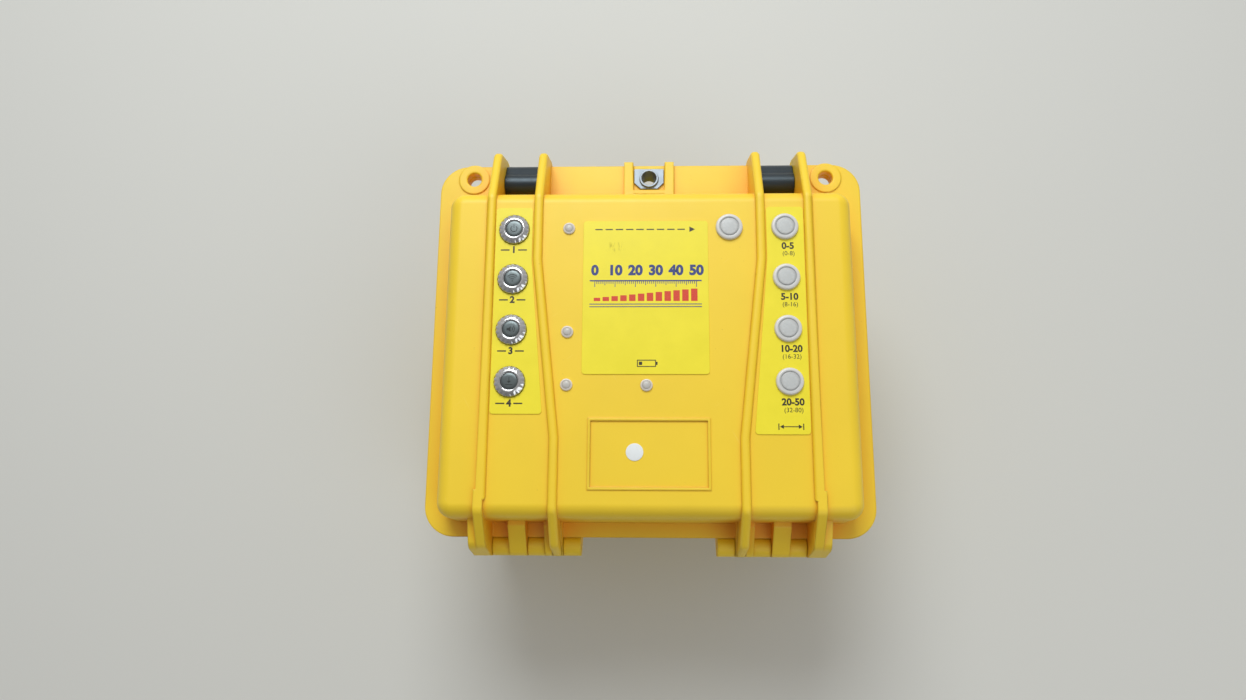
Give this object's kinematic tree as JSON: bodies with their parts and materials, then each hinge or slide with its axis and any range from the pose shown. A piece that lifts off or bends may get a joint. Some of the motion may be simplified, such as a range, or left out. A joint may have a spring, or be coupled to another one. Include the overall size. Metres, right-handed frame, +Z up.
{
  "type": "portable lightning detector",
  "caption": "Portable lightning detector in a hard carry case: push buttons, range lamps and labels on the hinged lid; latches, folding handle, battery and aerial.",
  "frame": {"origin": "middle of the flange in plan, on the surface that the base's feet rest on", "axes": "+Z up out of the lid's panel, +Y towards the latches and the handle, -Y towards the hinges, +X to the right as the panel is read"},
  "size_m": [0.27, 0.2576, 0.1773],
  "materials": {
    "case": "satin",
    "latch_black": "satin",
    "seal_rubber": "matte",
    "pin_steel": "brushed",
    "plate_steel": "brushed",
    "bezel_chrome": "polished",
    "cap_steel": "satin",
    "nut_metal": "plated",
    "switch_body": "matte",
    "lens": "frosted",
    "lens_clear": "clear",
    "lamp": "gloss",
    "label": "printed film",
    "vent": "matte",
    "cover": "matte",
    "screw_steel": "plated",
    "board": "lacquered",
    "standoff_brass": "turned",
    "chip": "matte",
    "capacitor": "sleeved",
    "horn": "matte",
    "battery_case": "moulded",
    "tray": "moulded",
    "strap": "plated",
    "ferrite": "matte",
    "winding": "enamelled",
    "clip": "moulded",
    "lead": "matte",
    "valve": "satin"
  },
  "bodies": {
    "base": {"base_shell": "case", "hinge_pin_left": "pin_steel", "hinge_pin_right": "pin_steel", "handle_pins": "pin_steel", "base_hasp_plate": "plate_steel", "pressure_valve": "valve", "battery": "battery_case", "battery_tray": "tray", "battery_strap": "strap", "strap_screws": "screw_steel", "antenna_rod": "ferrite", "antenna_coil": "winding", "antenna_clips": "clip", "panel_lead": "lead"},
    "lid": {"lid_shell": "case", "lid_gasket": "seal_rubber", "latch_pins": "pin_steel", "lid_hasp_plate": "plate_steel", "button_seals": "seal_rubber", "button_nuts": "nut_metal", "button_switches": "switch_body", "alert_lens": "lens", "lens_nuts": "nut_metal", "panel_leds": "lamp", "label_left": "label", "label_right": "label", "label_centre": "label", "vent_disc": "vent", "lid_cover": "cover", "cover_screws": "screw_steel", "main_board": "board", "board_standoffs": "standoff_brass", "board_chips": "chip", "board_capacitors": "capacitor", "alarm_horn": "horn", "button_bezel_1": "bezel_chrome", "range_lens_1": "lens", "status_lens_1": "lens_clear", "button_bezel_2": "bezel_chrome", "range_lens_2": "lens", "status_lens_2": "lens_clear", "button_bezel_3": "bezel_chrome", "range_lens_3": "lens", "status_lens_3": "lens_clear", "button_bezel_4": "bezel_chrome", "range_lens_4": "lens", "status_lens_4": "lens_clear"},
    "left_latch": {"latch_arm_left": "latch_black"},
    "right_latch": {"latch_arm_right": "latch_black"},
    "left_lever": {"latch_lever_left": "latch_black", "lever_pin_left": "pin_steel"},
    "right_lever": {"latch_lever_right": "latch_black", "lever_pin_right": "pin_steel"},
    "handle": {"carry_handle": "latch_black"},
    "button_1": {"button_cap_1": "cap_steel"},
    "button_2": {"button_cap_2": "cap_steel"},
    "button_3": {"button_cap_3": "cap_steel"},
    "button_4": {"button_cap_4": "cap_steel"}
  },
  "joints": [
    {"name": "lid_hinge", "type": "hinge", "parent": "base", "child": "lid", "pos_m": [0, -0.1228, 0.1345], "axis": [1, 0, 0], "range_deg": [0, 100], "deforming": ["panel_lead"]},
    {"name": "left_latch_swing", "type": "hinge", "parent": "lid", "child": "left_latch", "pos_m": [-0.0807, 0.104, 0.143], "axis": [1, 0, 0], "range_deg": [0, 90]},
    {"name": "left_lever_swing", "type": "hinge", "parent": "left_latch", "child": "left_lever", "pos_m": [-0.0807, 0.1155, 0.1165], "axis": [1, 0, 0], "range_deg": [0, 75]},
    {"name": "right_latch_swing", "type": "hinge", "parent": "lid", "child": "right_latch", "pos_m": [0.0807, 0.104, 0.143], "axis": [1, 0, 0], "range_deg": [0, 90]},
    {"name": "right_lever_swing", "type": "hinge", "parent": "right_latch", "child": "right_lever", "pos_m": [0.0807, 0.1155, 0.1165], "axis": [1, 0, 0], "range_deg": [0, 75]},
    {"name": "handle_swing", "type": "hinge", "parent": "base", "child": "handle", "pos_m": [0, 0.1065, 0.1195], "axis": [1, 0, 0], "range_deg": [0, 90]},
    {"name": "button_1_press", "type": "slide", "parent": "lid", "child": "button_1", "axis": [0, 0, -1], "range_m": [0, 0.0015], "stiffness_N_per_m": 600, "springref_m": -0.001},
    {"name": "button_2_press", "type": "slide", "parent": "lid", "child": "button_2", "axis": [0, 0, -1], "range_m": [0, 0.0015], "stiffness_N_per_m": 600, "springref_m": -0.001},
    {"name": "button_3_press", "type": "slide", "parent": "lid", "child": "button_3", "axis": [0, 0, -1], "range_m": [0, 0.0015], "stiffness_N_per_m": 600, "springref_m": -0.001},
    {"name": "button_4_press", "type": "slide", "parent": "lid", "child": "button_4", "axis": [0, 0, -1], "range_m": [0, 0.0015], "stiffness_N_per_m": 600, "springref_m": -0.001}
  ]
}
